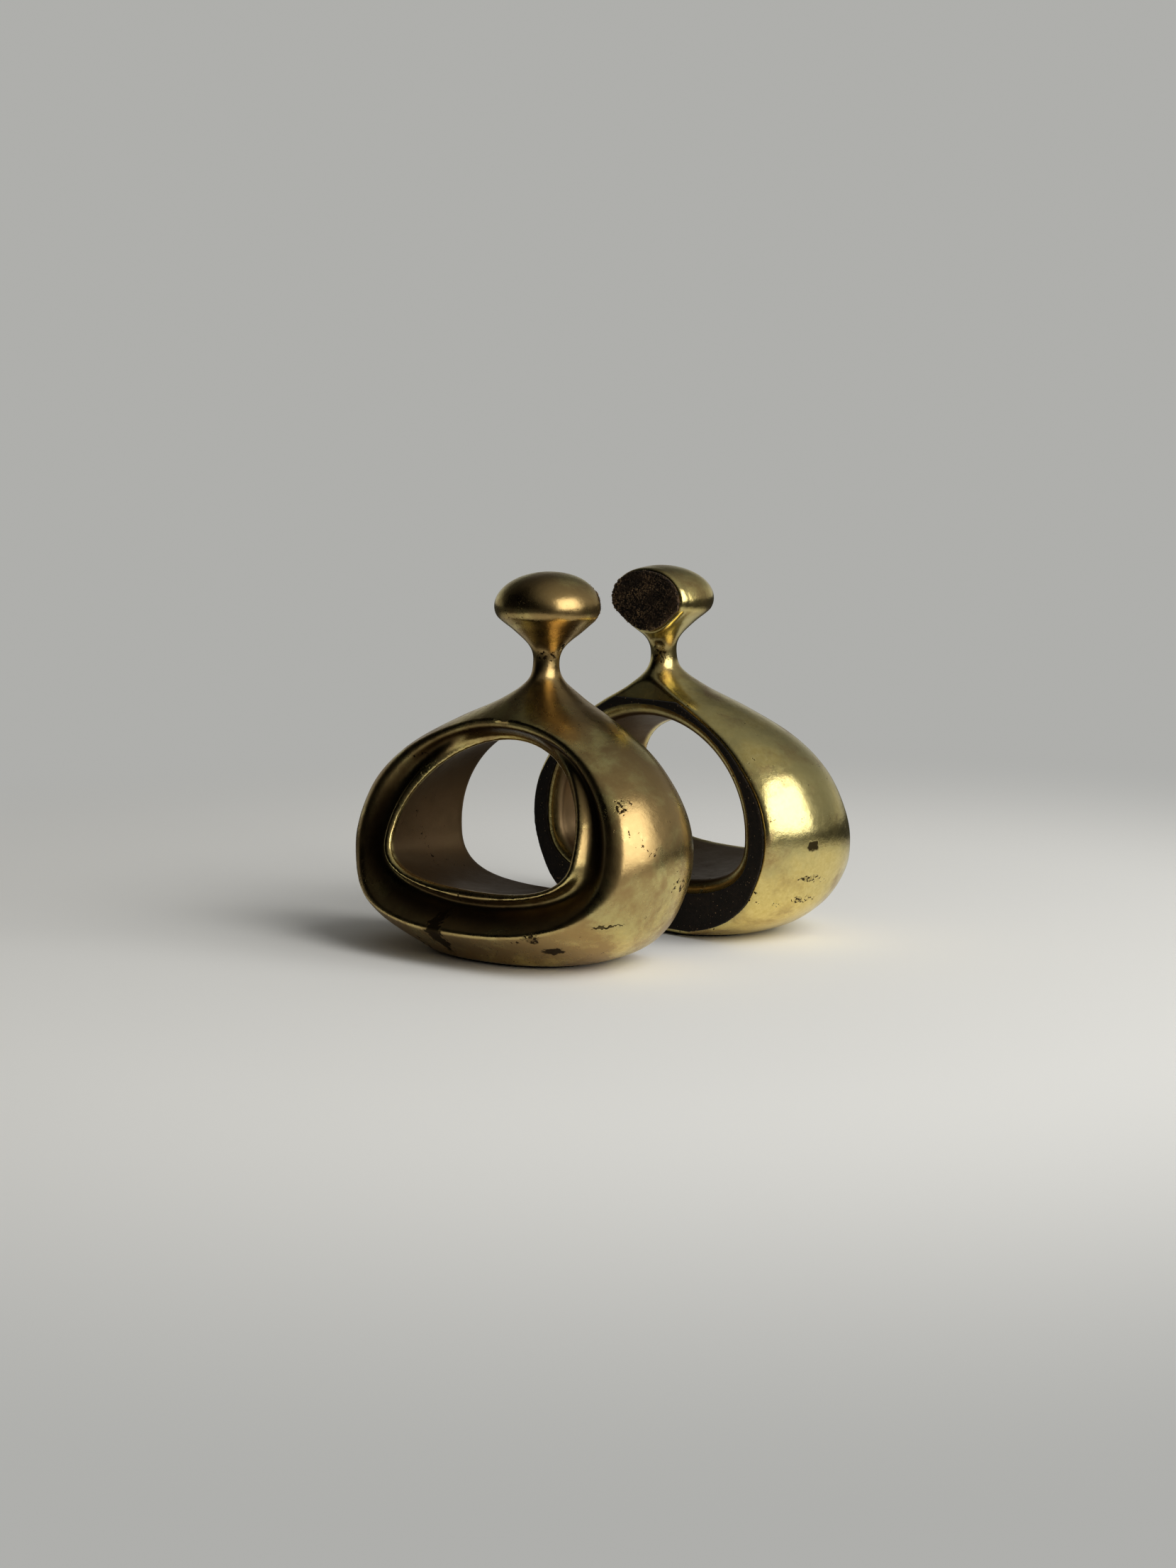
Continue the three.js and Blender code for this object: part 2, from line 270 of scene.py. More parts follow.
def surface_mesh(shape, low, high, cell):
    """Points, quads and normals of a shape's surface between two corners."""
    axes = [np.arange(low[k], high[k] + cell, cell) for k in range(3)]
    value = shape(*np.meshgrid(*axes, indexing="ij"))
    inside = value < 0
    total = np.zeros([n - 1 for n in value.shape] + [3])
    count = np.zeros([n - 1 for n in value.shape])
    quads = []
    for axis in range(3):
        near, far = [slice(None)] * 3, [slice(None)] * 3
        near[axis], far[axis] = slice(0, -1), slice(1, None)
        cross = np.argwhere(inside[tuple(near)] != inside[tuple(far)])
        start = value[tuple(near)][tuple(cross.T)]
        stop = value[tuple(far)][tuple(cross.T)]
        place = cross.astype(float)
        place[:, axis] += start / (start - stop)
        u, v = (axis + 1) % 3, (axis + 2) % 3
        corners = []
        for du, dv in ((0, 0), (-1, 0), (-1, -1), (0, -1)):
            cube = cross.copy()
            cube[:, u] += du
            cube[:, v] += dv
            np.add.at(total, tuple(cube.T), place)
            np.add.at(count, tuple(cube.T), 1)
            corners.append(np.ravel_multi_index(cube.T, count.shape))
        quad = np.stack(corners, 1)
        quad[start > 0] = quad[start > 0][:, ::-1]
        quads.append(quad)
    used = np.flatnonzero(count.ravel() > 0)
    number = np.full(count.size, -1)
    number[used] = np.arange(len(used))
    points = total.reshape(-1, 3)[used] / count.ravel()[used][:, None] * cell + np.array(low)
    for _ in range(SLIDES):
        distance, slope = slope_of(shape, points)
        step = (distance / np.maximum((slope ** 2).sum(1), 0.25))[:, None] * slope
        points -= np.clip(step, -cell, cell)
    slope = slope_of(shape, points)[1]
    normals = slope / np.maximum(np.linalg.norm(slope, axis=1), 1e-9)[:, None]
    return points, number[np.concatenate(quads)], normals


CASTING_CELL = 0.9
CASTING_LOW, CASTING_HIGH = (-76, -2.5, -1.5), (76, 76, 151)
form_points, form_quads, form_normals = surface_mesh(casting, CASTING_LOW, CASTING_HIGH,
                                                     CASTING_CELL)
print("casting:", len(form_points), "points,", len(form_quads) * 2, "triangles, box",
      form_points.min(0).round(1), form_points.max(0).round(1))

# %% [markdown]
# ## Reading wear from the form
# Hands polish what stands out, and grime stays where a cloth can't reach. How fast the normals fan
# out or close up from one vertex to the next says which is which, so both become values on the mesh
# that the materials can read. Other values say whether a point lies in the opening or in the moat,
# and how far forward and how high it is. Two of them place painted shade: on the opening's wall away
# from its middle height, and as a painted dark reflection in the moat.

# %% Values for the materials
def ring_average(values, edges, rounds):
    """Smooths one value per point over its neighbours."""
    for _ in range(rounds):
        total = values.copy()
        count = np.ones(len(values))
        for a, b in (edges.T, edges.T[::-1]):
            total += np.bincount(a, values[b], len(values))
            count += np.bincount(a, minlength=len(values))
        values = total / count
    return values


def bend_of(points, normals, edges):
    """Curvature per millimetre, above 0 where the surface bulges and below 0 in a hollow."""
    a, b = edges.T
    gap = points[b] - points[a]
    bend = ((normals[b] - normals[a]) * gap).sum(1) / np.maximum((gap ** 2).sum(1), 1e-6)
    total = np.bincount(a, bend, len(points)) + np.bincount(b, bend, len(points))
    count = np.bincount(a, minlength=len(points)) + np.bincount(b, minlength=len(points))
    return total / np.maximum(count, 1)


form_edges = np.unique(np.sort(np.concatenate(
    [form_quads[:, [k, (k + 1) % 4]] for k in range(4)]), axis=1), axis=0)
bend = ring_average(bend_of(form_points, form_normals, form_edges), form_edges, 2)
opening_depth = np.abs(as_distance(opening_wall, *form_points.T))
lip_gap = form_points[:, 1] - throat_depth(form_points[:, 2])
form_share = across_front(form_points[:, 0], form_points[:, 2])[0]
behind_front = front_face(form_points[:, 0], form_points[:, 2]) - form_points[:, 1]
on_front = 1 - ease(behind_front, 0.5, 3)
MOAT_SHIFT = 1.8              # above 1 moves the darkest ring of the moat's painted dark reflection out towards the ridge
UNSHADED_HEIGHT = 50           # where the painted shade inside the opening is lightest
UNSHADED_SPREAD = 19
APRON_CLEAN = 0.85            # how much of the grime is kept off the slope next to the bead
apron = on_front * (1 - ease(form_share, 0.25, 0.5))
in_opening = (1 - ease(opening_depth, 0.6, 3)) * (1 - ease(lip_gap, -3, -1))
WEAR = {
    "bulge": ease(bend, 0.06, 0.5) * ease(form_points[:, 1], 4, 12),
    "hollow": ring_average(ease(-bend, 0.01, 0.2), form_edges, 4) * (1 - APRON_CLEAN * apron),
    "inside": in_opening,
    # painted shade on the opening's wall, darkest far above and below its middle height
    "painted_shade_inside": in_opening * (1 - np.exp(-((form_points[:, 2] - UNSHADED_HEIGHT)
                                            / UNSHADED_SPREAD) ** 2)),
    # where the moat gets its painted dark reflection
    "moat": on_front * np.sin(np.pi * form_share ** MOAT_SHIFT) ** 2,
    "forward": form_points[:, 1] * MM,
    "height": form_points[:, 2] * MM,
}
for name, values in WEAR.items():
    print(name, values.min().round(3), "to", values.max().round(3), "mean", values.mean().round(3))

# %% [markdown]
# ## Node helpers
# Geometry, shading and the studio are all built from nodes. Five short helpers keep those cells
# readable. They add a node, declare a group's sockets, blend two colours, map a value from one
# range to another, and do one step of arithmetic.

# %% Node helpers
def node(tree, kind, inputs=(), **settings):
    """Adds a node, sets its options, and links or fills its inputs by name or number."""
    made = tree.nodes.new(kind)
    for key, value in settings.items():
        setattr(made, key, value)
    for key, value in dict(inputs).items():
        if isinstance(value, bpy.types.NodeSocket):
            tree.links.new(value, made.inputs[key])
        else:
            made.inputs[key].default_value = value
    return made


def group_tree(name, kind, inputs, outputs):
    """A node group with named sockets. Returns it with its input and output nodes."""
    tree = bpy.data.node_groups.new(name, kind)
    for direction, sockets in (("INPUT", inputs), ("OUTPUT", outputs)):
        for socket, (socket_kind, default) in sockets.items():
            made = tree.interface.new_socket(socket, in_out=direction,
                                             socket_type="NodeSocket" + socket_kind)
            if default is not None:
                made.default_value = default
    return tree, tree.nodes.new("NodeGroupInput").outputs, tree.nodes.new("NodeGroupOutput").inputs


def blend_colours(tree, factor, first, second):
    made = node(tree, "ShaderNodeMix", {0: factor, 6: first, 7: second}, data_type="RGBA")
    return made.outputs[2]


def span(tree, value, low, high, to_low=0.0, to_high=1.0):
    """Maps a value from low..high to another range with a smooth step."""
    made = node(tree, "ShaderNodeMapRange", {0: value, 1: low, 2: high, 3: to_low, 4: to_high},
                interpolation_type="SMOOTHSTEP")
    return made.outputs[0]


def calculate(tree, operation, *values):
    return node(tree, "ShaderNodeMath", dict(enumerate(values)), operation=operation).outputs[0]


print("node helpers ready")

# %% [markdown]
# ## Hand finishing
# A sand casting is filed, sanded and buffed by hand, so a polished belly is never quite true: it has
# long shallow waves that bend its highlights. Geometry Nodes move every point along its normal by
# two sizes of noise, and take off the little that polishing wears away. The ground faces at the back
# and below stay flat, because the pads lie on them.

# %% Geometry Nodes: hand finishing
def hand_finish_tree():
    tree, given, result = group_tree(
        "hand_finish", "GeometryNodeTree",
        {"Casting": ("Geometry", None), "Wave Height": ("Float", 0.0), "Wave Size": ("Float", 0.03),
         "Ripple Height": ("Float", 0.0), "Ripple Size": ("Float", 0.007), "Seed": ("Float", 0.0),
         "Worn Off": ("Float", 0.0), "Flat Depth": ("Float", 0.004),
         "Metal": ("Material", None)},
        {"Casting": ("Geometry", None)})
    heights = []
    for kind in ("Wave", "Ripple"):
        scale = calculate(tree, "DIVIDE", 1.0, given[kind + " Size"])
        noise_node = node(tree, "ShaderNodeTexNoise", {"W": given["Seed"], "Scale": scale,
                                                       "Detail": 1.0}, noise_dimensions="4D")
        centred = calculate(tree, "SUBTRACT", noise_node.outputs[0], 0.5)
        heights.append(calculate(tree, "MULTIPLY", centred, given[kind + " Height"]))
    lift = calculate(tree, "SUBTRACT", calculate(tree, "ADD", *heights), given["Worn Off"])
    for attribute in ("forward", "height"):
        depth = node(tree, "GeometryNodeInputNamedAttribute", {"Name": attribute}).outputs[0]
        free = node(tree, "ShaderNodeMapRange",
                    {0: depth, 1: 0.0015, 2: given["Flat Depth"]}, interpolation_type="SMOOTHSTEP")
        lift = calculate(tree, "MULTIPLY", lift, free.outputs[0])
    normal = node(tree, "GeometryNodeInputNormal").outputs[0]
    offset = node(tree, "ShaderNodeVectorMath", {0: normal, "Scale": lift}, operation="SCALE")
    moved = node(tree, "GeometryNodeSetPosition", {"Geometry": given["Casting"],
                                                   "Offset": offset.outputs[0]})
    single = node(tree, "GeometryNodeRealizeInstances", {0: moved.outputs[0]})
    metal = node(tree, "GeometryNodeSetMaterial", {"Geometry": single.outputs[0],
                                                   "Material": given["Metal"]})
    tree.links.new(metal.outputs[0], result["Casting"])
    return tree


def run_geometry_nodes(piece, tree, values):
    """Runs a tree on a piece with named inputs and keeps the result as its plain mesh."""
    modifier = piece.modifiers.new(tree.name, "NODES")
    modifier.node_group = tree
    identifiers = {item.name: item.identifier for item in tree.interface.items_tree
                   if item.in_out == "INPUT"}
    for name, value in values.items():
        modifier[identifiers[name]] = value
    bpy.context.view_layer.update()
    evaluated = piece.evaluated_get(bpy.context.evaluated_depsgraph_get())
    mesh = bpy.data.meshes.new_from_object(evaluated)
    piece.modifiers.remove(modifier)
    piece.data = mesh
    mesh.name = piece.name
    return piece


hand_finish = hand_finish_tree()
print(hand_finish.name, "has", len(hand_finish.nodes), "nodes")

# %% [markdown]
# ## Shading groups
# Three effects are used many times, so each is a group with its own inputs. Clouds are the soft
# blotches of tarnish or dust. Flecks are sparse dark marks where the surface has been eaten. A
# blemish is one stain, pit or crack with a place and a size of its own.

# %% Shader groups
def clouds_group():
    tree, given, result = group_tree(
        "clouds", "ShaderNodeTree",
        {"Coordinates": ("Vector", None), "Size": ("Float", 0.02), "Seed": ("Float", 0.0),
         "Low": ("Float", 0.35), "High": ("Float", 0.65)},
        {"Mask": ("Float", None), "Noise": ("Float", None)})
    scale = calculate(tree, "DIVIDE", 1.0, given["Size"])
    noise_node = node(tree, "ShaderNodeTexNoise",
                      {"Vector": given["Coordinates"], "W": given["Seed"], "Scale": scale,
                       "Detail": 6.0, "Roughness": 0.62, "Distortion": 0.25}, noise_dimensions="4D")
    mask = span(tree, noise_node.outputs[0], given["Low"], given["High"])
    tree.links.new(mask, result["Mask"])
    tree.links.new(noise_node.outputs[0], result["Noise"])
    return tree


def flecks_group():
    """Sparse irregular marks: the cells of one noise, kept only where a wider one allows them."""
    tree, given, result = group_tree(
        "flecks", "ShaderNodeTree",
        {"Coordinates": ("Vector", None), "Size": ("Float", 0.002), "Seed": ("Float", 0.0),
         "Share": ("Float", 0.2)},
        {"Mask": ("Float", None)})
    scale = calculate(tree, "DIVIDE", 1.0, given["Size"])
    fine = node(tree, "ShaderNodeTexNoise",
                {"Vector": given["Coordinates"], "W": given["Seed"], "Scale": scale, "Detail": 3.0,
                 "Roughness": 0.6, "Distortion": 0.8}, noise_dimensions="4D")
    wide = node(tree, "ShaderNodeTexNoise",
                {"Vector": given["Coordinates"], "W": given["Seed"],
                 "Scale": calculate(tree, "MULTIPLY", scale, 0.12), "Detail": 2.0},
                noise_dimensions="4D")
    where = calculate(tree, "MULTIPLY", span(tree, wide.outputs[0], 0.5, 0.72), given["Share"])
    limit = calculate(tree, "SUBTRACT", 0.82, where)
    over = calculate(tree, "SUBTRACT", fine.outputs[0], limit)
    tree.links.new(span(tree, over, 0.0, 0.05), result["Mask"])
    return tree


def blemish_group():
    """One mark: an ellipsoid in the metal whose edge is pushed about by noise."""
    tree, given, result = group_tree(
        "blemish", "ShaderNodeTree",
        {"Coordinates": ("Vector", None), "Centre": ("Vector", (0, 0, 0)),
         "Half Size": ("Vector", (1, 1, 1)), "Ragged": ("Float", 0.001),
         "Broken": ("Float", 0.0)},
        {"Mask": ("Float", None)})
    rough = node(tree, "ShaderNodeTexNoise", {"Vector": given["Coordinates"], "Scale": 420.0,
                                              "Detail": 3.0})
    centred = node(tree, "ShaderNodeVectorMath", {0: rough.outputs["Color"], 1: (0.5, 0.5, 0.5)},
                   operation="SUBTRACT")
    push = node(tree, "ShaderNodeVectorMath",
                {0: centred.outputs[0], "Scale": calculate(tree, "MULTIPLY", given["Ragged"], 5.0)},
                operation="SCALE")
    pushed = node(tree, "ShaderNodeVectorMath", {0: given["Coordinates"], 1: push.outputs[0]},
                  operation="ADD")
    away = node(tree, "ShaderNodeVectorMath", {0: pushed.outputs[0], 1: given["Centre"]},
                operation="SUBTRACT")
    share = node(tree, "ShaderNodeVectorMath", {0: away.outputs[0], 1: given["Half Size"]},
                 operation="DIVIDE")
    reach = node(tree, "ShaderNodeVectorMath", {0: share.outputs[0]}, operation="LENGTH")
    inside = span(tree, reach.outputs["Value"], 1.0, 0.7)
    bits = node(tree, "ShaderNodeTexNoise", {"Vector": given["Coordinates"], "Scale": 700.0,
                                             "Detail": 2.0})
    kept = span(tree, bits.outputs[0], 0.47, 0.55)
    whole = calculate(tree, "SUBTRACT", 1.0, given["Broken"])
    cover = calculate(tree, "MAXIMUM", kept, whole)
    tree.links.new(calculate(tree, "MULTIPLY", inside, cover), result["Mask"])
    return tree


CLOUDS, FLECKS, BLEMISH = clouds_group(), flecks_group(), blemish_group()


def use_group(tree, group, inputs):
    made = tree.nodes.new("ShaderNodeGroup")
    made.node_tree = group
    for key, value in inputs.items():
        if isinstance(value, bpy.types.NodeSocket):
            tree.links.new(value, made.inputs[key])
        else:
            made.inputs[key].default_value = value
    return made.outputs


print("shader groups:", CLOUDS.name, FLECKS.name, BLEMISH.name)

# %% [markdown]
# ## Aged brass
# Bare brass is yellow, and its tarnish runs through olive and brown to nearly black. The layers go
# on in that order: bright metal, olive clouds, brown clouds, brown walls inside the opening, painted
# shade on those walls above and below their middle, a painted dark reflection in the moat and grime
# in every hollow. Where the form bulges, hands keep the metal bright. Flecks and blemishes go on
# last. Most tarnish is also duller, so a layer can change the roughness as well as the colour.

# %% Brass material
BRIGHT, GOLD = (0.82, 0.69, 0.31, 1), (0.72, 0.58, 0.23, 1)
OLIVE, BROWN = (0.54, 0.48, 0.24, 1), (0.4, 0.27, 0.125, 1)
# The middle colour on the next line is painted shade: it darkens the opening's wall above and below its
# middle, and the moat as a painted dark reflection.
UMBER, PAINTED_SHADE, GRIME = (0.33, 0.23, 0.135, 1), (0.05, 0.03, 0.012, 1), (0.02, 0.011, 0.005, 1)

# Place and half size across, forward and up, raggedness, then how broken the mark is. The first
# three are in millimetres, and the last runs from 0, solid, to 1, crumbled.
BLEMISHES = {
    "a": [((11, 60, 12), (5, 17, 10), 1.6, 0.0),          # drip stain below the opening
          ((-41, 55, 9.5), (6.5, 4, 2.2), 1.0, 0.0),      # oval stain at the foot
          ((-36, 63, 15), (4.5, 3, 3), 1.8, 0.6),         # smudge above it
          ((-61, 48, 21), (6, 9, 0.7), 1.2, 0.15),        # crack in the side
          ((6, 57, 25), (0.5, 3, 2.6), 0.6, 0.0),         # short line under the bead
          ((-62, 42, 66), (3, 5, 4), 1.5, 1.0),           # pits in the belly
          ((-2, 13, 116), (6, 5, 1.6), 1.5, 0.8)],        # file marks left on the neck
    "b": [((72.5, 19.5, 41), (2, 3.4, 2.8), 1.0, 0.0),    # round stain on the side
          ((68.5, 22, 27), (3, 8, 1.3), 1.6, 0.7),        # upper chain of pits
          ((65, 22, 18), (3, 8, 1.0), 1.6, 0.8),          # lower chain of pits
          ((2, 6, 113), (4, 5, 3), 1.5, 0.8)],            # file marks left on the neck
}
MARK_DEPTH, MARK_COVER, MARK_DULLING = 0.00012, 0.93, 0.3
GRAIN = ((0.0012, 0.00005), (0.0035, 0.00013), (0.011, 0.0003))   # sizes and rises in metres


def in_row_axes(half_size):
    """Half sizes across, forward and up become X, Y and Z, since both backs face along X."""
    across, forward, up = half_size
    return forward * MM, across * MM, up * MM


def brass_material(name, label, seed, brown, gloss):
    """brown is how far tarnish has gone, from 0 to 1, and gloss is the bright metal's roughness."""
    material = bpy.data.materials.new(name)
    material.use_nodes = True
    tree = material.node_tree
    shader = tree.nodes["Principled BSDF"]
    shader.inputs["Metallic"].default_value = 1
    at = node(tree, "ShaderNodeTexCoord").outputs["Object"]
    wear = {key: node(tree, "ShaderNodeAttribute", attribute_name=key).outputs["Fac"]
            for key in WEAR}

    def cloud(size, low, high, shift=0.0):
        return use_group(tree, CLOUDS, {"Coordinates": at, "Size": size, "Low": low, "High": high,
                                        "Seed": seed + shift})

    def multiply(*values):
        product = values[0]
        for value in values[1:]:
            product = calculate(tree, "MULTIPLY", product, value)
        return product

    olive_clouds = cloud(0.035, 0.38, 0.62)["Mask"]
    brown_clouds = cloud(0.022, 0.56 - 0.22 * brown, 0.74 - 0.2 * brown, 3.1)["Mask"]
    layers = [                                    # mask, strength, tint, added roughness
        (olive_clouds, 0.75, OLIVE, 0.05),
        (brown_clouds, 0.85, BROWN, 0.1),
        (wear["inside"], 0.94, UMBER, 0.26),
        # painted shade: the opening's wall darkened above and below its middle band
        (wear["painted_shade_inside"], 0.8, PAINTED_SHADE, 0.0),
        # painted dark reflection: the moat darkened to stand for the dim room it mirrors
        (wear["moat"], 0.95, PAINTED_SHADE, 0.03),
        (wear["hollow"], 0.55, GRIME, 0.12),
    ]
    colour = blend_colours(tree, cloud(0.0016, 0.3, 0.7, 7.7)["Mask"], BRIGHT, GOLD)
    rough = calculate(tree, "MULTIPLY_ADD", cloud(0.004, 0.3, 0.7, 5.2)["Mask"], 0.06, gloss)
    for source, strength, tint, dulling in layers:
        mask = multiply(source, strength)
        colour = blend_colours(tree, mask, colour, tint)
        rough = calculate(tree, "MULTIPLY_ADD", mask, dulling, rough)
    polished = multiply(wear["bulge"], span(tree, cloud(0.006, 0.3, 0.7, 1.3)["Noise"],
                                            0.36, 0.56, 0.15, 0.85))
    colour = blend_colours(tree, polished, colour, BRIGHT)
    rough = calculate(tree, "MULTIPLY_ADD", multiply(polished, -1.0), 0.08, rough)
    flecks = use_group(tree, FLECKS, {"Coordinates": at, "Size": 0.0022, "Seed": seed,
                                      "Share": 0.28})["Mask"]
    specks = use_group(tree, FLECKS, {"Coordinates": at, "Size": 0.0008, "Seed": seed + 2,
                                      "Share": 0.24})["Mask"]
    marks = calculate(tree, "MAXIMUM", flecks, specks)
    for place, half_size, ragged, broken in BLEMISHES[label]:
        centre = to_row_frame(np.array([place], float), label)[0]
        mark = use_group(tree, BLEMISH, {"Coordinates": at, "Centre": centre,
                                         "Half Size": in_row_axes(half_size),
                                         "Ragged": ragged * MM, "Broken": broken})["Mask"]
        marks = calculate(tree, "MAXIMUM", marks, mark)
    colour = blend_colours(tree, multiply(marks, MARK_COVER), colour, GRIME)
    rough = calculate(tree, "MULTIPLY_ADD", marks, MARK_DULLING, rough)
    tree.links.new(colour, shader.inputs["Base Color"])
    tree.links.new(rough, shader.inputs["Roughness"])
    height = multiply(marks, -MARK_DEPTH)
    for size, rise in GRAIN:
        height = calculate(tree, "MULTIPLY_ADD", cloud(size, 0.2, 0.8, size)["Noise"], rise, height)
    bump = node(tree, "ShaderNodeBump", {"Strength": 0.6, "Distance": 1.0, "Height": height})
    tree.links.new(bump.outputs[0], shader.inputs["Normal"])
    return material


BRASS = {"a": brass_material("aged_brass_dull", "a", 1.0, 0.95, 0.17),
         "b": brass_material("aged_brass_bright", "b", 8.0, 0.35, 0.15)}
print("brass:", [material.name for material in BRASS.values()])

# %% [markdown]
# ## The two castings
# The same drawing stands twice, once in each place. One mesh is made and placed for each bookend,
# and Geometry Nodes give each casting waves of its own, as two castings never finish alike.

# %% Castings
def mesh_piece(name, points, faces, values=()):
    """A named object at the origin whose place is in its mesh."""
    mesh = bpy.data.meshes.new(name)
    mesh.from_pydata(points.tolist(), [], np.asarray(faces).tolist())
    for key, data in dict(values).items():
        mesh.attributes.new(key, "FLOAT", "POINT").data.foreach_set("value", data.astype(np.float32))
    mesh.shade_smooth()
    piece = bpy.data.objects.new(name, mesh)
    bpy.context.scene.collection.objects.link(piece)
    return piece


for seed, (label, body) in enumerate(BODIES.items()):
    piece = mesh_piece(f"casting_{label}", to_row_frame(form_points, label), form_quads, WEAR)
    run_geometry_nodes(piece, hand_finish, {
        "Wave Height": 0.0009, "Wave Size": 0.045, "Ripple Height": 0.00012, "Ripple Size": 0.008,
        "Worn Off": 0.00012, "Seed": 4.0 + seed, "Metal": BRASS[label]})
    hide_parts(f"bookend_{label}_casting")
    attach(piece, body)
    print(piece.name, "rides on", body, "with", len(piece.data.polygons), "faces")

# %% [markdown]
# ## Felt pads
# Each bookend has three pads, cut from felt a millimetre thick: a disc on the head, a ring round the
# back of the opening and a sole underneath. A pad's outline is the flat face it is glued to, taken in
# a little. Its formula joins that outline with two planes, and the same mesher makes it.

# %% Pad shapes
PAD_THICKNESS, PAD_SIT = 1.0, 0.06
PAD_ROUND = 0.3
HEAD_PAD_INSET, BACK_PAD_INSET, BASE_PAD_INSET = 0.7, 1.0, 1.5
SHOULDER_HEIGHT = 110
BACK_PAD_TOP = 95.2
RING_FOOT = 2.6
MOUTH_MARGIN = 0.4            # between the rounded rim of the opening and the ring
SOLE_BACK = 1.0


def flat_distance(formula, u, v):
    """A formula of two coordinates as a distance in its own plane."""
    value = formula(u, v)
    slope = np.hypot(formula(u + PROBE, v) - value, formula(u, v + PROBE) - value) / PROBE
    return value / np.maximum(slope, 1e-3)


def sheet_between(outline, depth, low, high):
    """A flat sheet with a rounded rim."""
    planes = np.maximum(low - depth, depth - high)
    return rounded_both(outline, planes, PAD_ROUND)


def back_outline(x, z):
    return flat_distance(lambda u, v: outer_form(u, np.zeros_like(u), v), x, z)


def head_pad(x, y, z):
    outline = np.maximum(back_outline(x, z) + HEAD_PAD_INSET, SHOULDER_HEIGHT - z)
    return sheet_between(outline, y, -PAD_THICKNESS - PAD_SIT, -PAD_SIT)


def back_pad(x, y, z):
    rim = np.maximum(back_outline(x, z) + BACK_PAD_INSET, z - BACK_PAD_TOP)
    rim = np.maximum(rim, RING_FOOT - z)
    mouth = flat_distance(lambda u, v: outline_ratio(BACK_OUTLINE, u, v, BACK_ROUND + MOUTH_MARGIN) - 1,
                          x, z)
    return sheet_between(np.maximum(rim, -mouth), y, -PAD_THICKNESS - PAD_SIT, -PAD_SIT)


def base_pad(x, y, z):
    rim = flat_distance(lambda u, v: outer_form(u, v, np.zeros_like(u)), x, y) + BASE_PAD_INSET
    return sheet_between(np.maximum(rim, SOLE_BACK - y), z, 0.0, CASTING_FLOOR - PAD_SIT)


PAD_CELLS = {"head": (head_pad, (-24, -1.6, 118), (24, 0.6, 149), 0.4),
             "back": (back_pad, (-72, -1.8, 1), (72, 0.6, 97), 0.6),
             "base": (base_pad, (-40, -2, -0.7), (40, 56, 1.7), 0.7)}
pads = {kind: surface_mesh(*values) for kind, values in PAD_CELLS.items()}
for kind, (points, quads, _) in pads.items():
    print(kind, "pad:", len(quads), "faces,", np.ptp(points, axis=0).round(1), "mm")

# %% [markdown]
# ## Worn nap
# Old felt is bald in places, with pills, crumbs of dried glue and stray fibres. Geometry Nodes lift
# the sheet by noise, then scatter crumbs and bent fibres over the side that shows. A crumb is a
# twenty-sided ball and a fibre a three-sided thread, because there can be thousands of each.

# %% Geometry Nodes: worn nap
def scattered(tree, surface, shape, density, seed, size, spread, outward):
    """Instances of a shape over the faces that look outward, each with its own size and turn."""
    normal = node(tree, "GeometryNodeInputNormal").outputs[0]
    facing = node(tree, "ShaderNodeVectorMath", {0: normal, 1: outward}, operation="DOT_PRODUCT")
    shown = node(tree, "FunctionNodeCompare", {0: facing.outputs["Value"], 1: 0.2},
                 operation="GREATER_THAN")
    points = node(tree, "GeometryNodeDistributePointsOnFaces",
                  {"Mesh": surface, "Selection": shown.outputs[0], "Density": density,
                   "Seed": seed})
    turn = node(tree, "FunctionNodeRandomValue", {0: (-spread,) * 3, 1: (spread,) * 3,
                                                  "Seed": seed}, data_type="FLOAT_VECTOR")
    lean = node(tree, "FunctionNodeRotateRotation", {0: points.outputs["Rotation"],
                                                     1: turn.outputs[0]})
    least = calculate(tree, "MULTIPLY", size, 0.35)
    amount = node(tree, "FunctionNodeRandomValue", {2: least, 3: size, "Seed": seed})
    return node(tree, "GeometryNodeInstanceOnPoints",
                {"Points": points.outputs["Points"], "Instance": shape,
                 "Rotation": lean.outputs[0], "Scale": amount.outputs[1]}).outputs[0]


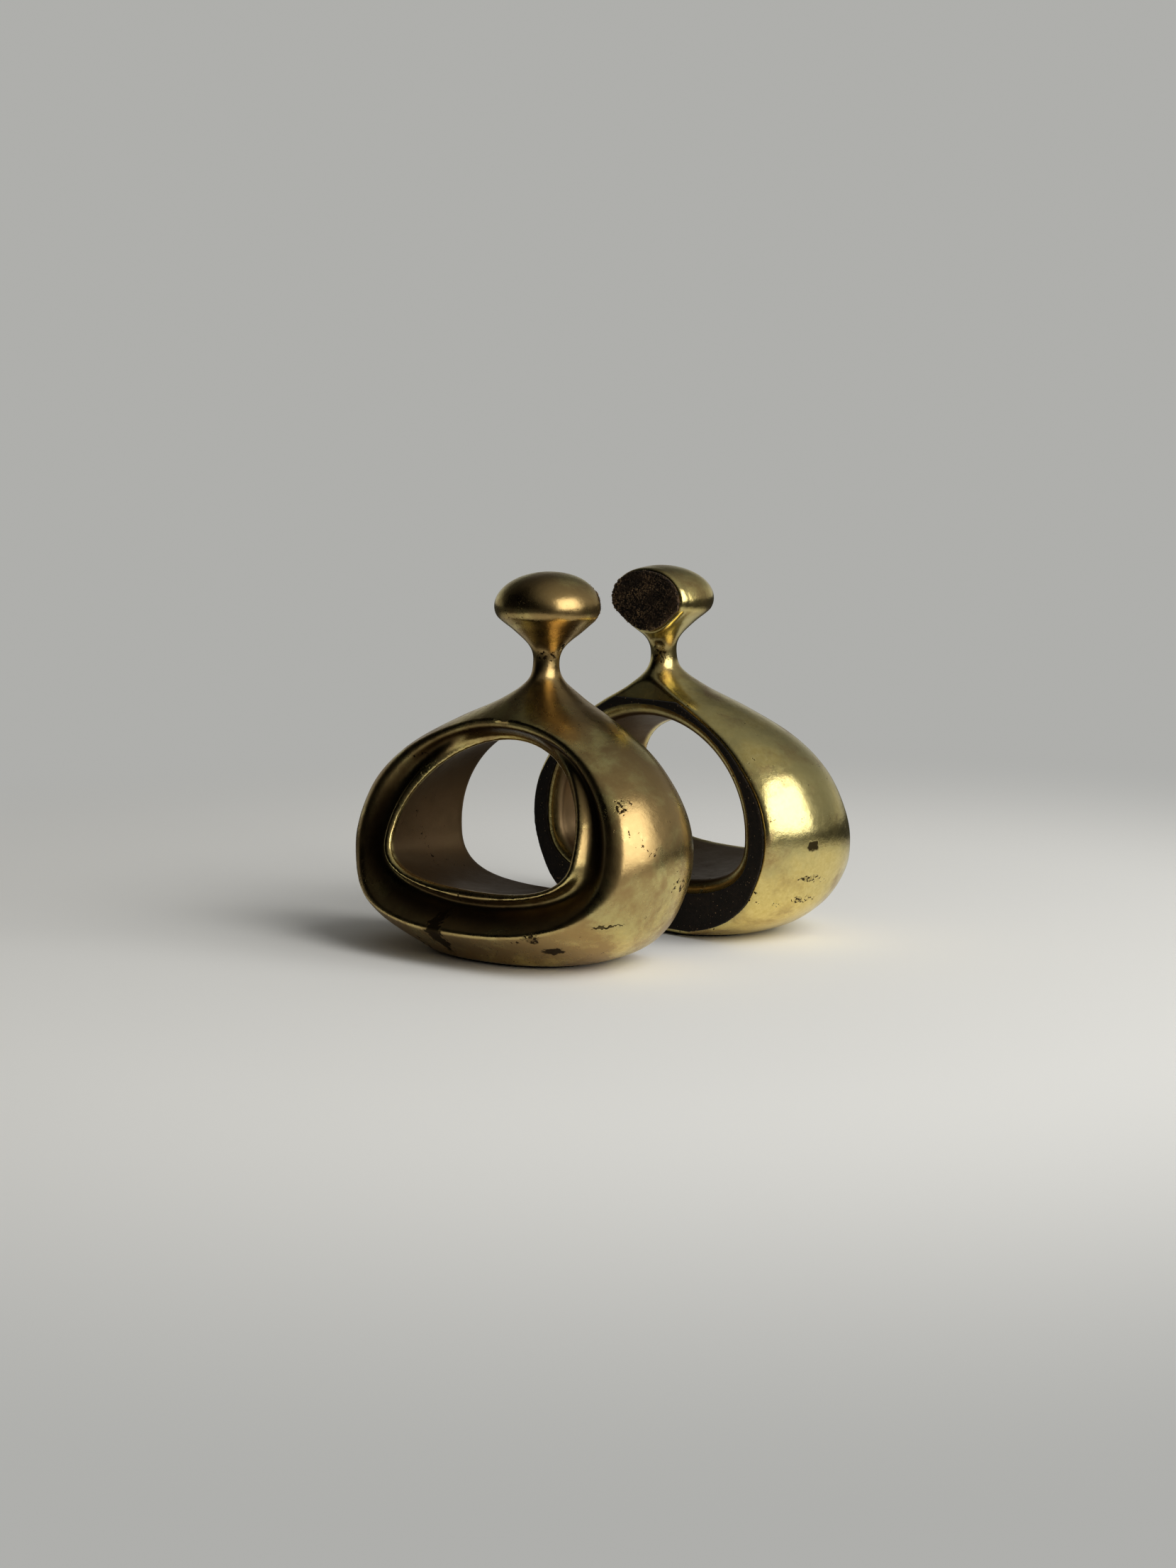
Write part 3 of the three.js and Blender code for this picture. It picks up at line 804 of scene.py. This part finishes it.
def worn_nap_tree():
    tree, given, result = group_tree(
        "worn_nap", "GeometryNodeTree",
        {"Pad": ("Geometry", None), "Nap Height": ("Float", 0.0), "Nap Size": ("Float", 0.002),
         "Crumb Density": ("Float", 0.0), "Crumb Size": ("Float", 0.0004),
         "Fibre Density": ("Float", 0.0), "Fibre Length": ("Float", 0.0015),
         "Outward": ("Vector", (0, 0, 1)), "Seed": ("Int", 0), "Felt": ("Material", None),
         "Crumbs": ("Material", None)},
        {"Pad": ("Geometry", None)})
    scale = calculate(tree, "DIVIDE", 1.0, given["Nap Size"])
    noise_node = node(tree, "ShaderNodeTexNoise", {"W": given["Seed"], "Scale": scale,
                                                   "Detail": 3.0}, noise_dimensions="4D")
    centred = calculate(tree, "SUBTRACT", noise_node.outputs[0], 0.5)
    lift = calculate(tree, "MULTIPLY", centred, given["Nap Height"])
    normal = node(tree, "GeometryNodeInputNormal").outputs[0]
    offset = node(tree, "ShaderNodeVectorMath", {0: normal, "Scale": lift}, operation="SCALE")
    sheet = node(tree, "GeometryNodeSetPosition", {"Geometry": given["Pad"],
                                                   "Offset": offset.outputs[0]}).outputs[0]
    ball = node(tree, "GeometryNodeMeshIcoSphere", {"Radius": 1.0, "Subdivisions": 1}).outputs[0]
    arc = node(tree, "GeometryNodeCurveQuadraticBezier",
               {"Resolution": 3, "Start": (0, 0, -0.1), "Middle": (0, 0, 0.5),
                "End": (0.75, 0, 0.45)}).outputs[0]
    ring = node(tree, "GeometryNodeCurvePrimitiveCircle", {"Resolution": 3, "Radius": 0.022})
    thread = node(tree, "GeometryNodeCurveToMesh", {0: arc, 1: ring.outputs[0],
                                                    "Fill Caps": True}).outputs[0]
    crumbs = scattered(tree, sheet, ball, given["Crumb Density"], given["Seed"],
                       given["Crumb Size"], math.pi, given["Outward"])
    fibres = scattered(tree, sheet, thread, given["Fibre Density"],
                       calculate(tree, "ADD", given["Seed"], 50.0), given["Fibre Length"], 1.2,
                       given["Outward"])
    joined = tree.nodes.new("GeometryNodeJoinGeometry")
    for part, material in ((fibres, "Felt"), (crumbs, "Crumbs"), (sheet, "Felt")):
        single = node(tree, "GeometryNodeRealizeInstances", {0: part})
        dressed = node(tree, "GeometryNodeSetMaterial", {"Geometry": single.outputs[0],
                                                         "Material": given[material]})
        tree.links.new(dressed.outputs[0], joined.inputs[0])
    tree.links.new(joined.outputs[0], result["Pad"])
    return tree


worn_nap = worn_nap_tree()
print(worn_nap.name, "has", len(worn_nap.nodes), "nodes")

# %% [markdown]
# ## Felt and crumbs
# The felt is wool gone brown black, with paler dust in its nap. Crumbs are dried glue and lint, each
# a slightly different brown. Cloth scatters light at grazing angles, so it has sheen and no shine.

# %% Felt materials
def felt_material(name, dark, pale, seed, size=0.0016):
    material = bpy.data.materials.new(name)
    material.use_nodes = True
    tree = material.node_tree
    shader = tree.nodes["Principled BSDF"]
    shader.inputs["Roughness"].default_value = 0.95
    shader.inputs["Specular IOR Level"].default_value = 0.25
    shader.inputs["Sheen Weight"].default_value = 0.12
    shader.inputs["Sheen Roughness"].default_value = 0.6
    at = node(tree, "ShaderNodeTexCoord").outputs["Object"]
    fine = use_group(tree, CLOUDS, {"Coordinates": at, "Size": size, "Seed": seed})
    wide = use_group(tree, CLOUDS, {"Coordinates": at, "Size": size * 5, "Seed": seed + 1.7})
    colour = blend_colours(tree, calculate(tree, "MULTIPLY", fine["Mask"], wide["Mask"]),
                           (*dark, 1), (*pale, 1))
    tree.links.new(colour, shader.inputs["Base Color"])
    fibre = node(tree, "ShaderNodeTexNoise", {"Vector": at, "Scale": 2600.0, "Detail": 3.0})
    height = calculate(tree, "MULTIPLY", fibre.outputs[0], 0.00015)
    bump = node(tree, "ShaderNodeBump", {"Strength": 0.8, "Distance": 1.0, "Height": height})
    tree.links.new(bump.outputs[0], shader.inputs["Normal"])
    return material


HEAD_FELT = felt_material("head_felt", (0.02, 0.013, 0.008), (0.19, 0.12, 0.07), 2.0, 0.0022)
BACK_FELT = felt_material("back_felt", (0.012, 0.008, 0.004), (0.03, 0.018, 0.009), 5.0)
CRUMBS = felt_material("glue_crumbs", (0.05, 0.033, 0.02), (0.45, 0.31, 0.17), 9.0, 0.0012)
print("felt:", HEAD_FELT.name, BACK_FELT.name, CRUMBS.name)

# %% [markdown]
# ## Pads in place
# Head pads are the most worn, because books are pushed against them. Soles stay smooth, since they
# have to lie flat. Every pad rides on its bookend and stands for its plain solid.

# %% Pads
PAD_WEAR = {
    "head": {"Nap Height": 0.0006, "Nap Size": 0.0022, "Crumb Density": 2.2e6,
             "Crumb Size": 0.00045, "Fibre Density": 1.6e6, "Fibre Length": 0.0012},
    "back": {"Nap Height": 0.0002, "Nap Size": 0.003, "Crumb Density": 0.12e6,
             "Crumb Size": 0.0003, "Fibre Density": 0.7e6, "Fibre Length": 0.0009},
    "base": {"Crumb Density": 0.0, "Fibre Density": 0.0},
}
for seed, (label, body) in enumerate(BODIES.items()):
    turn = PLACES[label][1]
    backward = (math.sin(turn), -math.cos(turn), 0.0)
    for kind, (points, quads, _) in pads.items():
        piece = mesh_piece(f"{kind}_pad_{label}", to_row_frame(points, label), quads)
        felt, slot = (HEAD_FELT, "worn_felt") if kind == "head" else (BACK_FELT, "dark_felt")
        run_geometry_nodes(piece, worn_nap, {**PAD_WEAR[kind], "Outward": backward, "Felt": felt,
                                             "Crumbs": CRUMBS, "Seed": 11 + seed})
        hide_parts(f"bookend_{label}_{kind}_pad")
        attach(piece, body)
        print(piece.name, len(piece.data.polygons), "faces")

# %% [markdown]
# ## Camera
# The view is a little above the bookends and turned to show one front and one back. A lens about
# twice as long as the sensor keeps the perspective of a portrait.

# %% Camera
VIEW_HEADING = math.radians(38.945)
VIEW_PITCH = math.radians(-7.95)
CAMERA_PLACE = (-0.9155, -0.7295, 0.2258)
SENSOR, LENS = 36.0, 67.6

camera = bpy.data.objects.new("camera", bpy.data.cameras.new("camera"))
bpy.context.scene.collection.objects.link(camera)
camera.location = CAMERA_PLACE
camera.rotation_euler = (math.pi / 2 + VIEW_PITCH, 0, VIEW_HEADING - math.pi / 2)
camera.data.sensor_fit = "VERTICAL"
camera.data.sensor_height = SENSOR
camera.data.lens = LENS
bpy.context.scene.camera = camera
print("camera", round(math.dist(CAMERA_PLACE, (0, 0, 0)), 2), "m from the bookends")

# %% [markdown]
# ## Pale floor
# Brass shows whatever stands round it, so the studio is part of the finish. The floor is matt and
# pale near the bookends, and fades into the plain grey of the background. Reflections see it end
# sooner than the eye does, as if the pair stood on a small plinth in a dim room.

# %% Floor
BACKGROUND = 0.385
DIM_ROOM = 0.05
PAPER = (1, 1, 0.965, 1)
FLOOR_HALF = 20
FADE_FROM, FADE_TO = 0.15, 0.36      # metres from the middle, as reflections see the floor
EYE_REACH = -0.42                    # shortens distances for the eye, so it sees floor further out


def floor_material():
    material = bpy.data.materials.new("pale_floor")
    material.use_nodes = True
    tree = material.node_tree
    matt = tree.nodes["Principled BSDF"]
    matt.inputs["Base Color"].default_value = (0.9, 0.895, 0.875, 1)
    matt.inputs["Roughness"].default_value = 0.9
    matt.inputs["Specular IOR Level"].default_value = 0.1
    at = node(tree, "ShaderNodeTexCoord").outputs["Object"]
    away = node(tree, "ShaderNodeVectorMath", {0: at}, operation="LENGTH").outputs["Value"]
    seen = node(tree, "ShaderNodeLightPath").outputs["Is Camera Ray"]
    reach = calculate(tree, "MULTIPLY", away, calculate(tree, "MULTIPLY_ADD", seen, EYE_REACH, 1.0))
    glow = node(tree, "ShaderNodeMix", {0: seen, 2: DIM_ROOM, 3: BACKGROUND}).outputs[0]
    plain = node(tree, "ShaderNodeEmission", {"Color": PAPER, "Strength": glow})
    fade = node(tree, "ShaderNodeMixShader", {0: span(tree, reach, FADE_FROM, FADE_TO),
                                              1: matt.outputs[0], 2: plain.outputs[0]})
    tree.links.new(fade.outputs[0], tree.nodes["Material Output"].inputs["Surface"])
    return material


corners = np.array([[-1, -1, 0], [1, -1, 0], [1, 1, 0], [-1, 1, 0]]) * float(FLOOR_HALF)
floor = mesh_piece("floor", corners, [[0, 1, 2, 3]])
floor.data.materials.append(floor_material())
print("floor", 2 * FLOOR_HALF, "m square")

# %% [markdown]
# ## Window and room
# One wide soft window stands level with the bookends on the right and makes the pale patch on each
# belly. A second soft light falls on the floor alone, so it whitens the floor with no second
# highlight in the metal. The room is dim in front and to the left and grey behind, and that is what
# gives the dark side of the brass its depth.

# %% Lights
WARM_WHITE = (1, 0.99, 0.965)


def soft_light(name, place, target, size, radiance):
    """A square of light with a given brightness per area, whatever its size."""
    light = bpy.data.objects.new(name, bpy.data.lights.new(name, "AREA"))
    light.data.shape = "RECTANGLE"
    light.data.size, light.data.size_y = size
    light.data.energy = radiance * math.pi * size[0] * size[1]
    light.data.color = WARM_WHITE
    light.location = place
    aim = Vector(target) - Vector(place)
    light.rotation_euler = aim.to_track_quat("-Z", "Y").to_euler()
    bpy.context.scene.collection.objects.link(light)
    return light


window = soft_light("window", (0.05, -1.7, 0.95), (0.05, 0, 0.95), (1.85, 1.8), 2.3)
floor_light = soft_light("floor_light", (0.2, -1.3, 1.3), (0, 0, 0), (1.4, 1.4), 2.0)
floor_only = bpy.data.collections.new("floor_only")
floor_only.objects.link(floor)
floor_light.light_linking.receiver_collection = floor_only
print("lights:", window.name, floor_light.name)

# %% Room
BEHIND = (0.7778, 0.6286, 0)
OVER_THE_WINDOW = (0.15, -0.66, 0.73)

world = bpy.data.worlds.new("dim_room")
bpy.context.scene.world = world
world.use_nodes = True
tree = world.node_tree
facing = node(tree, "ShaderNodeTexCoord").outputs["Generated"]
behind = node(tree, "ShaderNodeVectorMath", {0: facing, 1: BEHIND}, operation="DOT_PRODUCT")
above = node(tree, "ShaderNodeVectorMath", {0: facing, 1: OVER_THE_WINDOW}, operation="DOT_PRODUCT")
level = node(tree, "ShaderNodeSeparateXYZ", {0: facing}).outputs["Z"]
wall = calculate(tree, "MULTIPLY", span(tree, behind.outputs["Value"], 0.1, 0.85, 0.006, 0.4),
                 span(tree, level, 0.08, 0.6, 1.0, 0.12))
room = calculate(tree, "ADD", wall, span(tree, above.outputs["Value"], 0.1, 0.95, 0.0, 0.3))
seen = node(tree, "ShaderNodeLightPath").outputs["Is Camera Ray"]
strength = node(tree, "ShaderNodeMix", {0: seen, 2: room, 3: BACKGROUND}).outputs[0]
backdrop = tree.nodes["Background"]
backdrop.inputs["Color"].default_value = PAPER
tree.links.new(strength, backdrop.inputs["Strength"])
bpy.context.scene.view_settings.view_transform = "Standard"
bpy.context.scene.view_settings.look = "Medium High Contrast"
print("room: grey behind, dim in front")
